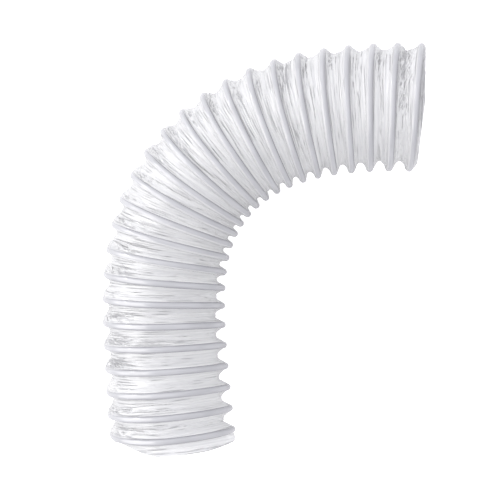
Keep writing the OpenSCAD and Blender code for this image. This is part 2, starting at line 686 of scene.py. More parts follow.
@dataclass(frozen=True)
class Threads:
    """Thin lines of painted crease shade that run along the rib, side by side, and wander in patches.

    Attributes:
        spacing: Distance between two lines, in millimetres.
        length: Length over which a line wanders once, in millimetres.
        wander: How far it wanders, in radians of the wave.
        thin: Share of the wave's height that counts as a line.
        patches: A noise, which says where the lines are.
        patch_range: Heights of that noise where the lines start and where they are full.
        finer: Scale of the finer wander on top of the first.
    """

    spacing: float
    length: float
    wander: float
    thin: float
    patches: StretchedNoise
    patch_range: Pair
    finer: float = 1.2

    def add(self, tree: bpy.types.NodeTree) -> bpy.types.NodeSocket:
        """Adds the lines to a material: the tops of a sine wave across the rib, times the patches.

        The wave node's phase is 20 times its scale times the place, so that a scale of
        2 pi / 20 gives one line to each spacing.

        Args:
            tree: The material's nodes.

        Returns:
            The socket of the share, 1 in the middle of a line.
        """
        wave = tree.nodes.new("ShaderNodeTexWave")
        wave.wave_type, wave.bands_direction, wave.wave_profile = "BANDS", "Y", "SIN"
        wave.inputs["Scale"].default_value = 2 * np.pi / 20
        wave.inputs["Distortion"].default_value = self.wander
        wave.inputs["Detail"].default_value = 1.0
        wave.inputs["Detail Scale"].default_value = self.finer
        place = charted(tree, self.length, self.spacing)
        tree.links.new(place, wave.inputs["Vector"])
        line = between(tree, wave.outputs["Fac"], (1.0 - self.thin, 1.0), FULL)
        patch = between(tree, self.patches.add(tree), self.patch_range, FULL)
        return combined(tree, "MULTIPLY", line, patch)


@dataclass(frozen=True)
class ClearFilm:
    """Clear film: bright where it is smooth, greyer in streaks, with painted shade in its thin creases and
    folds.

    Attributes:
        name: The material's name.
        clear: Its colour where it is smooth.
        hazy: Its colour in a streak.
        dark: Painted shade in a crease: the colour the film takes there.
        haze: Noise that lays out the streaks.
        haze_range: Heights of that noise where a streak starts and where it is full.
        groove: Heights of the folds where a groove starts and where it is full.
        groove_share: How much of the painted crease shade a groove takes.
        threads: The thin creases, which take painted shade.
        slack_fold: Heights of the folds above which the film has no thin creases, and below
            which it has them all.
        slack_share: How much of the painted crease shade they take.
        roughness: Roughness of the surface, clear and in a streak.
        alpha: Share of the light that one face stops, clear and in a crease.
        wrinkles: Noise of the fine wrinkles.
        wrinkle_depth: Depth of the wrinkles, in millimetres.
        glow: Painted glow: an even emission that stands in for light which the wall passes on from behind,
            as a share of white.
        coat: Weight of the gloss on top.
        coat_roughness: Roughness of that gloss.
    """

    name: str = "clear_film"
    clear: Triple = (0.79, 0.79, 0.79)
    hazy: Triple = (0.72, 0.72, 0.73)
    dark: Triple = (0.33, 0.33, 0.35)
    haze: StretchedNoise = StretchedNoise(90.0, 1.7, detail=1.0, warp=0.1)
    haze_range: Pair = (0.46, 0.59)
    groove: Pair = (0.36, 0.0)
    groove_share: float = 0.8
    threads: Threads = Threads(
        spacing=2.6,
        length=45.0,
        wander=7.0,
        thin=0.14,
        patches=StretchedNoise(30.0, 4.0, detail=1.0, offset=90.0),
        patch_range=(0.45, 0.60),
    )
    slack_fold: Pair = (0.64, 0.50)
    slack_share: float = 0.85
    roughness: Pair = (0.12, 0.24)
    alpha: Pair = (0.66, 0.88)
    wrinkles: StretchedNoise = StretchedNoise(75.0, 1.7, detail=1.0, warp=0.1)
    wrinkle_depth: float = 1.0
    glow: float = 0.12
    coat: float = 0.5
    coat_roughness: float = 0.04

    def material(self) -> bpy.types.Material:
        """Builds the material: streaks, creases and folds steer colour, roughness and alpha; the creases'
        colour is painted shade.

        Returns:
            The material.
        """
        made = coated(self.name, self.coat, self.coat_roughness)
        tree = made.node_tree
        shader = tree.nodes["Principled BSDF"]
        # Painted glow: an even emission stands in for light that comes through the wall
        shader.inputs["Emission Color"].default_value = WHITE
        shader.inputs["Emission Strength"].default_value = self.glow
        haze = between(tree, self.haze.add(tree), self.haze_range, FULL)
        fold = tree.nodes.new("ShaderNodeAttribute")
        fold.attribute_name = FOLD
        deep = between(tree, fold.outputs["Fac"], self.groove, (0.0, self.groove_share))
        slack = between(tree, fold.outputs["Fac"], self.slack_fold, (0.0, self.slack_share))
        thin = combined(tree, "MULTIPLY", slack, self.threads.add(tree))
        # Painted shade: the grooves and thin creases pull the film's colour towards the dark crease colour
        crease = combined(tree, "MAXIMUM", deep, thin)
        colour = blended(tree, crease, blended(tree, haze, self.clear, self.hazy), self.dark)
        tree.links.new(colour, shader.inputs["Base Color"])
        tree.links.new(between(tree, haze, FULL, self.roughness), shader.inputs["Roughness"])
        tree.links.new(between(tree, crease, FULL, self.alpha), shader.inputs["Alpha"])
        height = combined(tree, "SUBTRACT", self.wrinkles.add(tree), crease)
        add_relief(tree, height, self.wrinkle_depth)
        return made


@dataclass(frozen=True)
class MilkyRib:
    """Milky plastic of the rib, with faint clouds along it.

    Attributes:
        name: The material's name.
        plain: Its colour.
        cloud: Its colour in a cloud.
        flank: Painted shade on the rod's flanks, away from its outermost line: the colour there.
        clouds: Noise that lays out the clouds.
        cloud_range: Heights of that noise where a cloud starts and where it is full.
        flank_range: Distances round the rod from its outermost line where the flank starts and
            where it is full, in millimetres.
        flank_share: How much of the painted flank shade it takes there.
        roughness: Roughness of the surface, plain and in a cloud.
        waves: Noise of its slight unevenness.
        wave_depth: Depth of that unevenness, in millimetres.
        coat: Weight of the gloss on top.
        coat_roughness: Roughness of that gloss.
    """

    name: str = "milky_rib"
    plain: Triple = (0.47, 0.47, 0.49)
    cloud: Triple = (0.53, 0.53, 0.55)
    flank: Triple = (0.24, 0.24, 0.26)
    clouds: StretchedNoise = StretchedNoise(30.0, 3.0, detail=2.0, warp=0.2)
    cloud_range: Pair = (0.4, 0.65)
    flank_range: Pair = (1.4, 4.4)
    flank_share: float = 0.85
    roughness: Pair = (0.12, 0.2)
    waves: StretchedNoise = StretchedNoise(14.0, 2.5, detail=1.0)
    wave_depth: float = 0.2
    coat: float = 1.0
    coat_roughness: float = 0.14

    def material(self) -> bpy.types.Material:
        """Builds the material: clouds steer colour and roughness, and the flanks get painted shade.

        Returns:
            The material.
        """
        made = coated(self.name, self.coat, self.coat_roughness)
        tree = made.node_tree
        shader = tree.nodes["Principled BSDF"]
        share = between(tree, self.clouds.add(tree), self.cloud_range, FULL)
        place = tree.nodes.new("ShaderNodeSeparateXYZ")
        tree.links.new(charted(tree, 1.0, 1.0), place.inputs["Vector"])
        # Painted shade: darker towards the rod's flanks, away from its outermost line
        side = between(tree, place.outputs["Y"], self.flank_range, (0.0, self.flank_share))
        clouded = blended(tree, share, self.plain, self.cloud)
        tree.links.new(blended(tree, side, clouded, self.flank), shader.inputs["Base Color"])
        tree.links.new(between(tree, share, FULL, self.roughness), shader.inputs["Roughness"])
        add_relief(tree, self.waves.add(tree), self.wave_depth)
        return made


# ---- The film ----


@dataclass(frozen=True)
class Lie:
    """A measure of how the film lies: plain, with a further part for each share of a kind.

    Attributes:
        plain: The measure itself.
        slack: Added where the film is slack.
        taut: Added above and below where the film is stretched flat.
        loose: Added above and below where it isn't.
        inside: Added on the inside of the bend.
    """

    plain: float
    slack: float = 0.0
    taut: float = 0.0
    loose: float = 0.0
    inside: float = 0.0

    def at(
        self, slack: np.ndarray, taut: np.ndarray, loose: np.ndarray, inside: np.ndarray
    ) -> np.ndarray:
        """The measure for the shares of slack, taut, loose and inside film."""
        upper = self.taut * taut + self.loose * loose
        return self.plain + self.slack * slack + upper + self.inside * inside


@dataclass(frozen=True)
class Folds:
    """A set of folds, from a noise that is drawn out along the rib.

    Attributes:
        seed: Picks the noise.
        per_turn: Steps of the noise in one turn along the rib.
        width: Length of one step across the rib.
        height: Height of the set, below 0 for grooves.
        sharp: Power that makes sharp folds thinner.
        slant: Steps along the rib for each millimetre across it.
        start: Step across the rib where the set starts, so that two sets differ.
    """

    seed: int
    per_turn: float
    width: float
    height: float
    sharp: float = 1.0
    slant: float = 0.0
    start: float = 0.0

    def soft(self, run: np.ndarray, x: np.ndarray) -> np.ndarray:
        """Rounded folds: height noise(per_turn run, x / width), x away from the rib."""
        return self.height * SoftNoise(self.seed).at(run * self.per_turn, x / self.width)

    def crisp(self, run: np.ndarray, x: np.ndarray, at: np.ndarray) -> np.ndarray:
        """Sharp folds: height ridge(per_turn run + slant x, at / width + start) ^ sharp.

        Args:
            run: Turns along the rib.
            x: Distance from the rib.
            at: That distance once the folds have wandered.

        Returns:
            Their heights.
        """
        along = run * self.per_turn + self.slant * x
        ridges = SoftNoise(self.seed).ridge(along, at / self.width + self.start)
        return self.height * ridges**self.sharp


@dataclass
class FilmWall:
    """The wall of film: a shell of two faces that sags between the turns of the rib and creases.

    Attributes:
        coil_r: Radius of the rib's centre line.
        rib_r: Radius of the rib.
        thickness: Thickness of the film.
        valley_r: Radius of the film at its lowest, where the hose is straight.
        fold_r: Radius of the film at its lowest, on the inside of the bend.
        inner_side: Cosines of the angle between which the inside of the bend begins.
        upper_side: Sines of it, of either sign, between which above or below begins.
        outer_side: Cosines of it, with the other sign, between which the outside begins.
        slack_over: Turn counts over which the film on the outside stops being slack.
        tight_gap: Distances between two turns where the film is squeezed and where it is free.
        tight_fill: Share of the fold on the inside that is gone where the film is squeezed.
        taut_over: Turn counts over which the film above and below gets taut.
        taut_lift: How much higher its lowest place is then.
        near: Height over the rib's centre line at which the film leaves a turn.
        far: Height over it at which the film meets the next turn.
        near_reach: Share of the free gap over which it falls past a turn.
        far_reach: Share of the free gap over which it rises to the next turn.
        leave: Where the fall starts past a turn, in radii of the rib.
        meet: Where the rise ends before the next turn, in radii of the rib.
        mouth_r: Radius of the film at the inlet mouth.
        mouth_spread: How much wider it is near the top of the inside.
        mouth_angle: Angle where it is widest.
        mouth_side: Cosines of the angle from there between which it comes to that.
        rod_starts: Angle near which the rod starts at the inlet.
        rod_ends: Angle near which it ends at the outlet.
        flare_passes: Passes of the rib over which the film at the inlet stops standing out.
        flare_angles: Angles over which it does so on the way down the outside.
        wrap_over: Turn counts over which the film starts to wrap the rod.
        wrap_edge: Distances before the rod's outermost line where the wrap ends, at the first
            turns and past them.
        wrap_soft: Distances from there between which the film comes out of the rod.
        wrap_lift: How far it stands off the rod once it is out.
        wrap_sink: How far it lies in the rod before.
        drift: Wide folds that shift the creases.
        sway: Small folds that shift them.
        lines: Creases along the rib.
        tangle: Creases that cross each other.
        tangle_share: Share of the tangle everywhere, and what a knot adds.
        knot_angle: Angle of the knots of creases.
        knot_width: Width of a knot, as an angle.
        knot_reach: Distances past a turn where a knot starts to fade and where it is gone.
        last_from: Passes of the rib before the last where the last gap starts and is full.
        last_knot: Strength of the knot that fills the last gap.
        swell: Rounded folds under the creases.
        patch: How the depth of the creases changes along the rib, and not across it.
        patch_mean: Share of the creases' depth that there is in the mean.
        crease: Depth of the creases.
        calm: Share of that depth on the inside of the bend, and what comes to it elsewhere.
        calm_angle: Angle where they are calmest.
        calm_side: Cosines of the angle from there, with the other sign, between which the rest
            comes to them.
        crease_from: Where they start and are full past a turn, in radii of the rib.
        crease_to: Where they end and are full before the next turn, in radii of the rib.
        drawn_over: Shares of the gap over which the film gets drawn up to the next turn.
        drawn_loss: Share of the creases' depth that goes there.
        drawn_last: Share of that loss that is spared in the last gap.
        around: Number of cells round the hose.
        along: Number of cells along one turn.
        end_rows: Number of cells along the film at a mouth.
        hem_shade: How much duller the doubled edge at a mouth is.
        hem_reach: Distances from the edge where that starts to fade and where it is gone.
        seat_shade: How much painted shade the film has where it leaves the rib.
        seat_reach: Distances past a turn where that starts to fade and where it is gone, in
            radii of the rib.
        inside_shine: How much brighter the film is on the inside of the bend, by less painted crease shade.
        shine_side: Cosines of the angle, with the other sign, between which that goes.
        lining_r: Radius of the inner layer at a mouth.
        lining_at: Distances inwards of the cut edge where it starts and ends.
        lining_rows: Number of cells along it.
        ripple: Its slight folds, over the angle and the turn count.
        material: Its finish.
    """

    coil_r: float = 57.0
    rib_r: float = 3.25
    thickness: float = 0.35
    valley_r: float = 54.0
    fold_r: float = 50.8
    inner_side: Pair = (-0.3, 0.8)
    upper_side: Pair = (0.45, 0.95)
    outer_side: Pair = (0.25, 0.95)
    slack_over: Pair = (11.0, 18.0)
    tight_gap: Pair = (12.0, 20.0)
    tight_fill: float = 0.75
    taut_over: Pair = (9.0, 15.0)
    taut_lift: float = 1.5
    near: Lie = Lie(0.9, slack=1.6, taut=-2.2)
    far: Lie = Lie(1.5, slack=-1.3, loose=-2.6)
    near_reach: Lie = Lie(0.40, slack=0.34, inside=0.06)
    far_reach: Lie = Lie(0.60, slack=-0.28, taut=-0.30, inside=-0.10)
    leave: float = 0.8
    meet: float = 0.7
    mouth_r: float = 57.4
    mouth_spread: float = 2.2
    mouth_angle: float = 0.3
    mouth_side: Pair = (0.2, 1.0)
    rod_starts: float = 1.5 * np.pi
    rod_ends: float = 1.2 * np.pi
    flare_passes: Pair = (0.75, 1.02)
    flare_angles: Pair = (3.4, 4.5)
    wrap_over: Pair = (6.0, 10.0)
    wrap_edge: Pair = (4.4, 1.0)
    wrap_soft: Pair = (-0.6, 0.8)
    wrap_lift: float = 0.3
    wrap_sink: float = 0.8
    drift: Folds = Folds(437, 11.0, 9.0, 1.8)
    sway: Folds = Folds(438, 40.0, 4.0, 0.35)
    lines: tuple[Folds, ...] = (
        Folds(439, 5.0, 2.6, -1.2, sharp=1.5),
        Folds(440, 8.0, 1.9, -0.8, sharp=1.5, start=20.0),
        Folds(441, 8.0, 3.2, 0.9, start=40.0),
    )
    tangle: tuple[Folds, ...] = (
        Folds(442, 62.0, 3.0, 1.0, slant=0.4),
        Folds(443, 62.0, 3.0, -1.1, slant=-0.4),
    )
    tangle_share: Pair = (0.12, 1.5)
    knot_angle: float = 2.45
    knot_width: float = 0.38
    knot_reach: Pair = (7.0, 12.0)
    last_from: Pair = (1.2, 0.9)
    last_knot: float = 0.6
    swell: Folds = Folds(444, 9.0, 7.0, 0.3)
    patch: Folds = Folds(445, 6.5, np.inf, 0.4)
    patch_mean: float = 0.8
    crease: float = 0.95
    calm: Pair = (0.7, 0.3)
    calm_angle: float = 0.4
    calm_side: Pair = (-0.8, 0.6)
    crease_from: Pair = (0.95, 1.6)
    crease_to: Pair = (0.7, 1.6)
    drawn_over: Pair = (0.5, 0.8)
    drawn_loss: float = 0.8
    drawn_last: float = 0.5
    around: int = 280
    along: int = 56
    end_rows: int = 24
    hem_shade: float = 0.3
    hem_reach: Pair = (3.0, 9.0)
    seat_shade: float = 0.3
    seat_reach: Pair = (0.9, 1.7)
    inside_shine: float = 0.2
    shine_side: Pair = (-0.65, 0.3)
    lining_r: float = 51.6
    lining_at: Pair = (0.6, 7.6)
    lining_rows: int = 10
    ripple: Folds = Folds(446, 5.4, 0.25, 0.2)
    material: bpy.types.Material = field(init=False)

    def __post_init__(self) -> None:
        """Makes the finish once for all the pieces."""
        self.material = ClearFilm().material()

    def between_turns(
        self, u: np.ndarray, angle: np.ndarray
    ) -> tuple[np.ndarray, np.ndarray, np.ndarray, np.ndarray]:
        """Where a point of the film lies between two turns of the rib.

        Args:
            u: Turn counts.
            angle: Angles round the hose.

        Returns:
            The gap between the turns, the share of the way across it, x, which is the distance
            past one turn, and y, which is the distance before the next.
        """
        gap, share = HOSE.spacing(u, angle, self.coil_r), phase(u, angle)
        return gap, share, share * gap, (1 - share) * gap

    def profile(self, u: np.ndarray, angle: np.ndarray) -> np.ndarray:
        """Radius of the film without creases.

        With x the distance past one turn of the rib and y the distance before the next, it is
        low + (near - low) fall(x) + (far - low) rise(y), where fall is an eased step and rise is
        (1 - t)^2 (1 + 0.6 t), with t the share of its reach. The film leaves the rib low
        on its outlet side and comes up to the next turn high on its inlet side, except on the
        outside of the inlet run, where slack film bulges out past each turn. Past the elbow the
        film above and below is taut, and lies flatter. From the elbow on it also wraps the inlet
        side of the rod: it lies on coil_r + sqrt(reach^2 - y^2), with a reach just over rib_r
        that falls well under it towards the rod's outermost line.

        Args:
            u: Turn counts.
            angle: Angles round the hose.

        Returns:
            Radii of the outer face.
        """
        gap, _, x, y = self.between_turns(u, angle)
        free = gap - 2 * self.rib_r
        tight = 1 - ease(gap, *self.tight_gap)
        inside = ease(np.cos(angle), *self.inner_side)
        upper = ease(np.abs(np.sin(angle)), *self.upper_side)
        taut = upper * ease(u, *self.taut_over)
        shares = (self.slack(u, angle), taut, upper - taut, inside)
        low = self.valley_r + (self.fold_r - self.valley_r) * inside * (1 - self.tight_fill * tight)
        low = low + self.taut_lift * taut
        spread = ease(np.cos(angle - self.mouth_angle), *self.mouth_side)
        mouth = self.mouth_r + self.mouth_spread * spread
        low = low + (mouth - low) * self.flare(u, angle)
        near, far = (self.coil_r + lie.at(*shares) for lie in (self.near, self.far))
        reach_x, reach_y = (free * lie.at(*shares) for lie in (self.near_reach, self.far_reach))
        fall = 1 - ease(x, self.leave * self.rib_r, self.leave * self.rib_r + reach_x)
        t = np.clip((y - self.meet * self.rib_r) / reach_y, 0.0, 1.0)
        rise = (1 - t) ** 2 * (1 + 0.6 * t)
        loose = low + (near - low) * fall + (far - low) * rise
        before, after = self.wrap_edge
        edge = before + (after - before) * ease(u, *self.wrap_over)
        cover = ease(y, edge + self.wrap_soft[0], edge + self.wrap_soft[1])
        reach = self.rib_r - self.wrap_sink + (self.wrap_sink + self.wrap_lift) * cover
        wrapped = self.coil_r + np.sqrt(np.maximum(0.0, reach**2 - y**2))
        return np.where(y < reach, np.maximum(loose, wrapped), loose)

    def slack(self, u: np.ndarray, angle: np.ndarray) -> np.ndarray:
        """How far the film bulges past a turn: 1 on the outside of the inlet run, else 0."""
        return ease(-np.cos(angle), *self.outer_side) * (1 - ease(u, *self.slack_over))

    def flare(self, u: np.ndarray, angle: np.ndarray) -> np.ndarray:
        """Share by which the film stands out at the inlet, where no next turn draws it in.

        Args:
            u: Turn counts.
            angle: Angles round the hose, from 0 to one turn.

        Returns:
            1 where it stands out wholly, 0 where it lies as elsewhere.
        """
        before = 1 - ease(passes(u, angle, self.rod_starts), *self.flare_passes)
        down = np.where(angle > self.rod_starts, 0.0, angle)
        return before * (1 - ease(down, *self.flare_angles))

    def run(self, u: np.ndarray, angle: np.ndarray) -> np.ndarray:
        """Turns along the rib to the place beside a point: floor(u - t) + t, from 8 turns back."""
        return np.floor(u - turned(angle)) + turned(angle) + 8.0

    def creases(self, u: np.ndarray, angle: np.ndarray) -> np.ndarray:
        """Height of the creases over the profile, as a share of their depth.

        Each set is a field of ridges read at places that more noise has shifted, so that the
        creases wander, meet and run mostly along the rib. They are deepest past each turn of
        the rib and fade where the film is drawn up to the next. Knots of crossing creases lie
        on the outside of the bend, and on all of the last gap. The coordinates are the turns
        along the rib and the distance from it, which have no seam round the hose.

        Args:
            u: Turn counts.
            angle: Angles round the hose.

        Returns:
            Heights, mostly from -1 to 1.
        """
        _, share, x, y = self.between_turns(u, angle)
        run = self.run(u, angle)
        at = x + self.drift.soft(run, x) + self.sway.soft(run, x)
        begins, full = (HOSE.turns - before for before in self.last_from)
        last = ease(passes(u, angle, self.rod_ends), begins, full)
        knot = np.exp(-(((angle - self.knot_angle) / self.knot_width) ** 2))
        knot = knot * (1 - ease(x, *self.knot_reach))
        plain, tied = self.tangle_share
        messy = plain + tied * np.maximum(knot, self.last_knot * last)
        lines = sum(folds.crisp(run, x, at) for folds in self.lines)
        tangle = sum(folds.crisp(run, x, at) for folds in self.tangle)
        heights = lines + messy * tangle + self.swell.soft(run, x)
        least, further = self.calm
        outer = least + further * ease(-np.cos(angle - self.calm_angle), *self.calm_side)
        start = ease(x, *(radii * self.rib_r for radii in self.crease_from))
        stop = ease(y, *(radii * self.rib_r for radii in self.crease_to))
        drawn = ease(share, *self.drawn_over) * (1 - self.drawn_last * last)
        deep = self.patch_mean + self.patch.soft(run, x)
        return heights * deep * outer * start * stop * (1 - self.drawn_loss * drawn)

    def shell(
        self,
        name: str,
        u: np.ndarray,
        angle: np.ndarray,
        smooth: np.ndarray,
        creases: np.ndarray,
        hem: np.ndarray | float = 0.0,
    ) -> tuple[bpy.types.Object, np.ndarray]:
        """Makes a closed shell of film from the radii of its outer face.

        The normals come from central differences of the outer face, so that neighbouring pieces,
        whose edges hold the same points, also shade as one.

        Args:
            name: The piece's name.
            u: Turn counts, with a spare row before and after the piece.
            angle: Angles round the hose, in the same grid.
            smooth: Radii of the outer face without creases, in the same grid.
            creases: Heights of the creases, as shares of their depth, in the same grid.
            hem: How much duller the film is where two layers lie together, in the same grid.

        Returns:
            The piece and the turn count of each of its points.
        """
        face = HOSE.place(u, angle, smooth + self.crease * creases)
        down = face[2:] - face[:-2]
        across = np.roll(face, -1, axis=1)[1:-1] - np.roll(face, 1, axis=1)[1:-1]
        normal = unit(np.cross(down, across))
        top = face[1:-1]
        under = top - self.thickness * normal
        rows, columns = top.shape[:2]
        count = rows * columns
        quads_out = grid_quads(rows, columns)
        quads_in = grid_quads(rows, columns, count, flip=True)
        j = np.arange(columns)
        nxt = (j + 1) % columns
        first = np.stack([j, nxt, nxt + count, j + count], axis=-1)
        end = first[:, ::-1] + (rows - 1) * columns
        flat = normal.reshape(-1, 3)
        ahead = unit(down)
        rim_first = np.broadcast_to(-ahead[0][:, None, :], (columns, 4, 3))
        rim_end = np.broadcast_to(ahead[-1][:, None, :], (columns, 4, 3))
        normals = np.concatenate(
            [
                flat[quads_out].reshape(-1, 3),
                -flat[quads_in - count].reshape(-1, 3),
                rim_first.reshape(-1, 3),
                rim_end.reshape(-1, 3),
            ]
        )
        points = np.concatenate([top.reshape(-1, 3), under.reshape(-1, 3)])
        quads = np.concatenate([quads_out, quads_in, first, end])
        _, _, x, _ = self.between_turns(u[1:-1], angle[1:-1])
        length = self.run(u[1:-1], angle[1:-1]) * 2 * np.pi * self.coil_r
        chart = np.stack([length, x], axis=-1).reshape(-1, 2)
        # Painted shade: the fold value falls where the film leaves the rib, so the film is darker there
        seat = 1 - ease(chart[:, 1], *(radii * self.rib_r for radii in self.seat_reach))
        shine = self.inside_shine * (1 - ease(-np.cos(angle), *self.shine_side))
        height = (0.5 + 0.5 * creases + shine - hem)[1:-1].ravel()
        fold = np.tile(np.clip(height - self.seat_shade * seat, 0.0, 1.0), 2)
        chart = np.tile(chart, (2, 1))
        piece = new_piece(name, points, quads, normals, self.material, chart, fold)
        return piece, np.tile(u[1:-1].ravel(), 2)

    def grid(self, start: np.ndarray, stop: np.ndarray, rows: int) -> tuple[np.ndarray, np.ndarray]:
        """Turn counts and angles of a piece, with a spare row before and after it.

        Args:
            start: Turn count of its first edge at each angle.
            stop: Turn count of its last edge at each angle.
            rows: Number of cells between them.

        Returns:
            u = start + t (stop - start) and the angles, as grids.
        """
        t = np.arange(-1, rows + 2)[:, None] / rows
        u = start[None, :] + t * (stop - start)[None, :]
        angle = np.broadcast_to(self.angles()[None, :], u.shape)
        return u, angle

    def angles(self) -> np.ndarray:
        """Angles of the columns."""
        return np.arange(self.around) * 2 * np.pi / self.around

    def build(self) -> None:
        """Builds the film between all the turns and at both mouths."""
        full = np.ones(self.around)
        for turn in range(1, HOSE.turns):
            u, angle = self.grid(full * turn, full * (turn + 1), self.along)
            smooth, creases = self.profile(u, angle), self.creases(u, angle)
            piece, place = self.shell(f"film_wall_{turn:02d}", u, angle, smooth, creases)
            bend_with(piece, turn, place - turn)
            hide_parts(f"film_{turn:02d}")
            LOG.info("%s: film between %s and %s", piece.name, body(turn), body(turn + 1))
        for mouth in Mouth:
            self.build_mouth(mouth)

    def build_mouth(self, mouth: Mouth) -> None:
        """Builds the film and its inner layer at a mouth.

        Args:
            mouth: Which end.
        """
        edge = HOSE.cut(mouth, self.angles())
        inlet = mouth is Mouth.INLET
        turn = 1 if inlet else HOSE.turns
        full = np.full(self.around, float(turn))
        start, stop = (edge, full) if inlet else (full, edge)
        u, angle = self.grid(start, stop, self.end_rows)
        smooth, creases = self.profile(u, angle), self.creases(u, angle)
        hem = self.hem_shade * (1 - ease(np.abs(u - edge) * HOSE.pitch, *self.hem_reach))
        piece, _ = self.shell(f"film_end_{mouth.value}", u, angle, smooth, creases, hem)
        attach(piece, body(turn))
        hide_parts(f"film_{mouth.value}")
        side = 1.0 if inlet else -1.0
        near, deep = (edge + side * depth / HOSE.pitch for depth in self.lining_at)
        start, stop = (near, deep) if inlet else (deep, near)
        u, angle = self.grid(start, stop, self.lining_rows)
        smooth = self.lining_r + self.ripple.soft(angle, u)
        piece, _ = self.shell(f"film_lining_{mouth.value}", u, angle, smooth, np.zeros_like(u))
        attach(piece, body(turn))
        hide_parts(f"lip_{mouth.value}")
        LOG.info("film and lining at the %s", mouth.value)


# ---- The rib ----


@dataclass
class RibCoil:
    """The rib: one rod wound to the left, built in lengths that flex between two turns.

    Attributes:
        coil_r: Radius of its centre line at the top and bottom.
        widen: How much further out it lies at the sides.
        rod_r: Radius of the rod.
        spare: Distance kept from the film's cut edge.
        search: Turns past an end turn over which the rod's end is looked for.
        search_steps: Number of steps in that search.
        rings: Number of rings in one turn.
        least_rings: Least number of cells along a piece.
        sides: Number of points round the rod.
        material: Its finish.
    """

    coil_r: float = 57.0
    widen: float = 0.25
    rod_r: float = 3.25
    spare: float = 0.2
    search: float = 0.9
    search_steps: int = 3600
    rings: int = 160
    least_rings: int = 4
    sides: int = 20
    material: bpy.types.Material = field(init=False)

    def __post_init__(self) -> None:
        """Makes the finish once for all the pieces."""
        self.material = MilkyRib().material()

    def line(self, u: np.ndarray) -> tuple[np.ndarray, np.ndarray]:
        """Centre line of the rod at u, and the direction away from the axis there.

        The rod stands on top at each whole u, so its angle is pi / 2 + 2 pi u.

        Args:
            u: Turn counts.

        Returns:
            Points and outward directions.
        """
        angle = np.pi / 2 + 2 * np.pi * u
        radius = self.coil_r + self.widen * np.cos(angle) ** 2
        here = HOSE.place(u, angle, radius)
        return here, unit(here - HOSE.place(u, angle, radius - 1.0))

    def rod(self, name: str, start: float, stop: float) -> tuple[bpy.types.Object, np.ndarray]:
        """Makes a closed length of rod: line + r (out cos b + side sin b), with flat ends.

        Args:
            name: The piece's name.
            start: Turn count at its start.
            stop: Turn count at its end.

        Returns:
            The piece and the turn count of each of its points.
        """
        rows = max(self.least_rings, round(self.rings * (stop - start)))
        u = start + (stop - start) * np.arange(rows + 1) / rows
        small = 1e-3
        middle, out = self.line(u)
        ahead = unit(self.line(u + small)[0] - self.line(u - small)[0])
        side = unit(np.cross(ahead, out))
        out = np.cross(side, ahead)
        b = np.arange(self.sides) * 2 * np.pi / self.sides
        spoke = out[:, None] * np.cos(b)[:, None] + side[:, None] * np.sin(b)[:, None]
        rings = middle[:, None] + self.rod_r * spoke
        count = rings.shape[0] * self.sides
        quads = grid_quads(rows + 1, self.sides, flip=True)
        flat = spoke.reshape(-1, 3)
        points = np.concatenate([rings.reshape(-1, 3), middle[[0, -1]]])
        length = np.broadcast_to((u * 2 * np.pi * self.coil_r)[:, None], (rows + 1, self.sides))
        girth = np.broadcast_to(self.rod_r * np.minimum(b, 2 * np.pi - b), (rows + 1, self.sides))
        chart = np.stack([length, girth], axis=-1).reshape(-1, 2)
        chart = np.concatenate([chart, chart[[0, -1]]])
        j = np.arange(0, self.sides, 2)
        j1, j2 = (j + 1) % self.sides, (j + 2) % self.sides
        base = rows * self.sides
        first = np.stack([j, np.full_like(j, count), j2, j1], axis=-1)
        end = np.stack([j + base, j1 + base, j2 + base, np.full_like(j, count + 1)], axis=-1)
        face = len(first)
        normals = np.concatenate(
            [
                flat[quads].reshape(-1, 3),
                np.tile(-ahead[0], (face * 4, 1)),
                np.tile(ahead[-1], (face * 4, 1)),
            ]
        )
        quads = np.concatenate([quads, first, end])
        piece = new_piece(name, points, quads, normals, self.material, chart)
        return piece, np.concatenate([np.repeat(u, self.sides), [start, stop]])

    def build(self) -> None:
        """Builds the whole rod, from one mouth to the other."""
        head, _ = self.rod("rib_rod_inlet", self.runout(Mouth.INLET), 1.0)
        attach(head, body(1))
        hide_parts("rib_01")
        for turn in range(1, HOSE.turns):
            piece, place = self.rod(f"rib_rod_{turn:02d}", float(turn), turn + 1.0)
            bend_with(piece, turn, place - turn)
            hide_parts(f"rib_{turn + 1:02d}")
            LOG.info("%s: rib from top to top of %s and %s", piece.name, body(turn), body(turn + 1))
        tail, _ = self.rod("rib_rod_outlet", float(HOSE.turns), self.runout(Mouth.OUTLET))
        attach(tail, body(HOSE.turns))
        LOG.info("%s and %s: ends of the rib", head.name, tail.name)

    def runout(self, mouth: Mouth) -> float:
        """Turn count at which the side of the rod meets the film's cut, found on a fine scale.

        Args:
            mouth: Which end.

        Returns:
            The first or last turn count where the rod is still inside the cut.
        """
        reach = np.linspace(0.0, self.search, self.search_steps + 1)
        out = -1.0 if mouth is Mouth.INLET else 1.0
        u = (1.0 if mouth is Mouth.INLET else float(HOSE.turns)) + out * reach
        angle = np.mod(np.pi / 2 + 2 * np.pi * u, 2 * np.pi)
        room = (HOSE.cut(mouth, angle) - u) * out * HOSE.pitch
        return float(u[np.argmax(room < self.rod_r + self.spare)])


# ---- The studio ----


